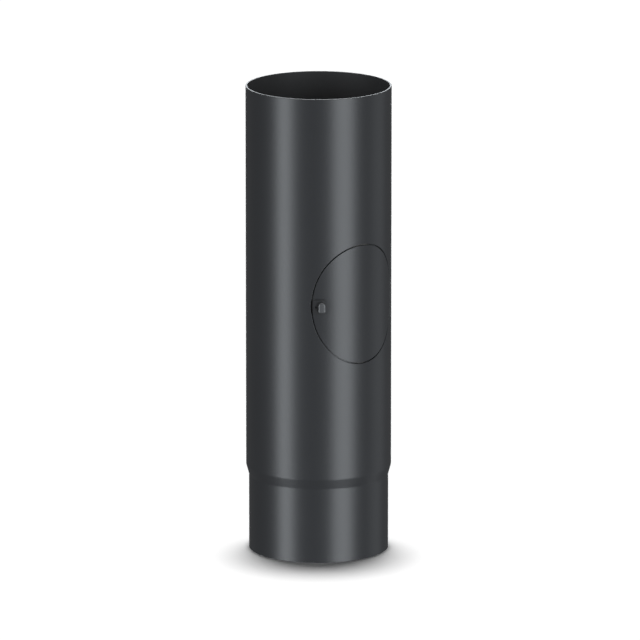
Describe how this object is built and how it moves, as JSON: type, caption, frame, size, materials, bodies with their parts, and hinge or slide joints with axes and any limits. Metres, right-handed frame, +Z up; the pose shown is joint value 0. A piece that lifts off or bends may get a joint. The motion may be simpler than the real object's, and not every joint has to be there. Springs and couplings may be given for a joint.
{
  "type": "flue pipe with inspection door",
  "caption": "Black steel flue pipe with a reduced spigot end and a flush oval inspection door on a hidden hinge.",
  "frame": {"origin": "centre of the spigot's end, on the pipe's axis", "axes": "+Z up along the pipe from the spigot to the socket, -Y out through the middle of the door"},
  "size_m": [0.154, 0.154, 0.5],
  "materials": {
    "stove_paint": "satin heat-resistant paint",
    "zinc_steel": "dull zinc plating",
    "fibre": "pressed ceramic fibre"
  },
  "bodies": {
    "pipe": {"flue_pipe": "stove_paint", "door_seat": "stove_paint", "door_gasket": "fibre", "hinge_bracket": "stove_paint", "hinge_pin": "zinc_steel", "hinge_clip": "zinc_steel"},
    "door": {"door_panel": "stove_paint", "hinge_arm": "stove_paint", "latch_plate": "stove_paint", "latch_screw": "zinc_steel"},
    "latch": {"latch_knob": "stove_paint", "latch_spacer": "zinc_steel", "latch_washer": "zinc_steel", "latch_cam": "zinc_steel", "latch_nut": "zinc_steel"}
  },
  "joints": [
    {"name": "door_swing", "type": "hinge", "parent": "pipe", "child": "door", "pos_m": [0.06017, -0.0376, 0.278], "axis": [0, 0, 1], "range_deg": [0, 100]},
    {"name": "latch_turn", "type": "hinge", "parent": "door", "child": "latch", "pos_m": [-0.04298, -0.06389, 0.278], "axis": [0.5582, 0.8297, 0], "range_deg": [0, 90]}
  ]
}
